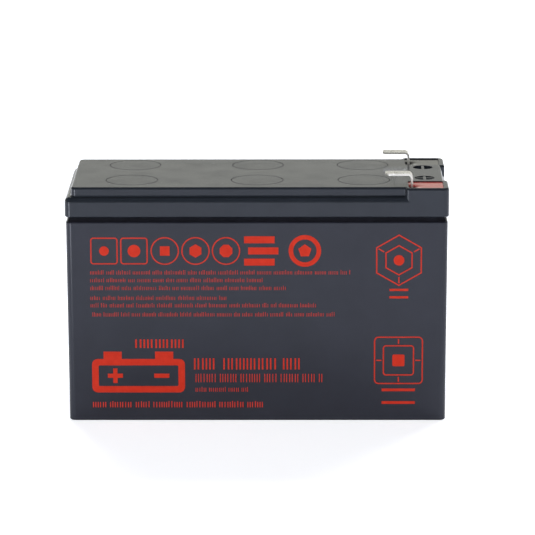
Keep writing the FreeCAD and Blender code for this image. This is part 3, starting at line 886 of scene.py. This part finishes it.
def math_node(tree, operation, *values, clamp=False):
    node = tree.nodes.new("ShaderNodeMath")
    node.operation = operation
    node.use_clamp = clamp
    feed_all(tree, node, dict(enumerate(values)))
    return node.outputs[0]


def mix_shaders(tree, share, first, second):
    node = tree.nodes.new("ShaderNodeMixShader")
    feed_all(tree, node, {0: share, 1: first, 2: second})
    return node.outputs["Shader"]


def background(tree, colour):
    node = tree.nodes.new("ShaderNodeBackground")
    feed(tree, node.inputs["Color"], colour)
    return node.outputs["Background"]


def ray_strength(tree, seen, mirrored):
    """A strength for what the eye sees and one for what gloss and glass show; else none."""
    ray = tree.nodes.new("ShaderNodeLightPath").outputs
    total = math_node(tree, "MULTIPLY", ray["Is Camera Ray"], seen)
    for kind in ("Is Glossy Ray", "Is Transmission Ray"):
        total = math_node(tree, "MULTIPLY_ADD", ray[kind], mirrored, total)
    return total


def add_floor():
    """A pale floor: white to the eye, with the battery's own soft shadow kept."""
    data = bpy.data.meshes.new("floor")
    reach = FLOOR_REACH
    corners = [(-reach, -reach, 0), (reach, -reach, 0), (reach, reach, 0), (-reach, reach, 0)]
    data.from_pydata(corners, [], [(0, 1, 2, 3)])
    floor = link_new("floor", data)
    material, tree, shader = new_material("pale_floor")
    feed_all(tree, shader, {
        "Base Color": FLOOR_COLOUR,
        "Roughness": 0.8,
        "Specular IOR Level": 0.1,
    })
    glow = tree.nodes.new("ShaderNodeEmission")
    feed_all(tree, glow, {
        "Color": WHITE,
        "Strength": ray_strength(tree, FLOOR_GLOW_SEEN, FLOOR_GLOW_MIRRORED),
    })
    both = tree.nodes.new("ShaderNodeAddShader")
    feed_all(tree, both, {0: shader.outputs["BSDF"], 1: glow.outputs["Emission"]})
    output = next(n for n in tree.nodes if n.type == "OUTPUT_MATERIAL")
    feed(tree, output.inputs["Surface"], both.outputs["Shader"])
    data.materials.append(material)


def add_world():
    """White to the eye; gloss sees a backdrop that fades up into a dim ceiling."""
    world = bpy.data.worlds.new("studio")
    bpy.context.scene.world = world
    world.use_nodes = True
    tree = world.node_tree
    tree.nodes.clear()
    output = tree.nodes.new("ShaderNodeOutputWorld")
    coordinates = tree.nodes.new("ShaderNodeTexCoord")
    parts = tree.nodes.new("ShaderNodeSeparateXYZ")
    feed(tree, parts.inputs["Vector"], coordinates.outputs["Generated"])
    to_front = math_node(tree, "MULTIPLY", parts.outputs["Y"], -1.0, clamp=True)
    steeper = math_node(tree, "MULTIPLY_ADD", to_front, FRONT_FADE, 1.0)
    ramp = tree.nodes.new("ShaderNodeValToRGB")
    feed(tree, ramp.inputs["Fac"], math_node(tree, "MULTIPLY", parts.outputs["Z"], steeper))
    stops = ramp.color_ramp.elements
    for position, _ in BACKDROP_STOPS[RAMP_ENDS:]:
        stops.new(position)
    for stop, (position, colour) in zip(stops, BACKDROP_STOPS):
        stop.position = position
        stop.color = opaque(*colour)
    plain = background(tree, WHITE)
    ray = tree.nodes.new("ShaderNodeLightPath").outputs
    lit = mix_shaders(
        tree, ray["Is Glossy Ray"],
        background(tree, WORLD_FILL), background(tree, ramp.outputs["Color"]))
    through = mix_shaders(tree, ray["Is Transmission Ray"], lit, plain)
    seen = mix_shaders(tree, ray["Is Camera Ray"], through, plain)
    feed(tree, output.inputs["Surface"], seen)


def add_lamp(name, place, target, size, power):
    data = bpy.data.lights.new(name, "AREA")
    data.shape = "RECTANGLE"
    data.size, data.size_y = size
    data.energy = power
    lamp = link_new(name, data)
    turn = (Vector(target) - Vector(place)).to_track_quat("-Z", "Y")
    lamp.matrix_world = Matrix.Translation(place) @ turn.to_matrix().to_4x4()
    lamp.visible_camera = False
    return lamp


def add_lamps():
    """Large panels that no gloss shows, and small cards that only gloss shows."""
    for panel in PANELS:
        add_lamp(*panel).visible_glossy = False
    for name, heading, distance, brightness in CARDS:
        angle = math.radians(heading)
        place = (-distance * math.sin(angle), -distance * math.cos(angle), CARD_HEIGHT)
        power = brightness * math.pi * CARD_SIZE[0] * CARD_SIZE[1]
        card = add_lamp(name, place, (0, 0, CARD_HEIGHT), CARD_SIZE, power)
        card.visible_diffuse = False


# ------------------------------------------------------------------ build
bpy.context.scene.view_settings.view_transform = "Standard"
add_camera()
add_floor()
add_world()
add_lamps()
dress_cad_nodes()
print_top_marks()
print_rows("print_small_rows", SMALL_ROWS)
print_battery_sign()
print_rows("print_rating_lines", RATING_ROWS)
print_right_marks()
bond_and_shade_bead()
tier_coves()
vent_covers()
resin_pool("positive_resin", "positive_terminal_seal", "positive_terminal", RED_RESIN,
           RED_SINK_PLACE)
resin_pool("negative_resin", "negative_terminal_seal", "negative_terminal", BLACK_RESIN,
           BLACK_SINK_PLACE)
polarity_signs()
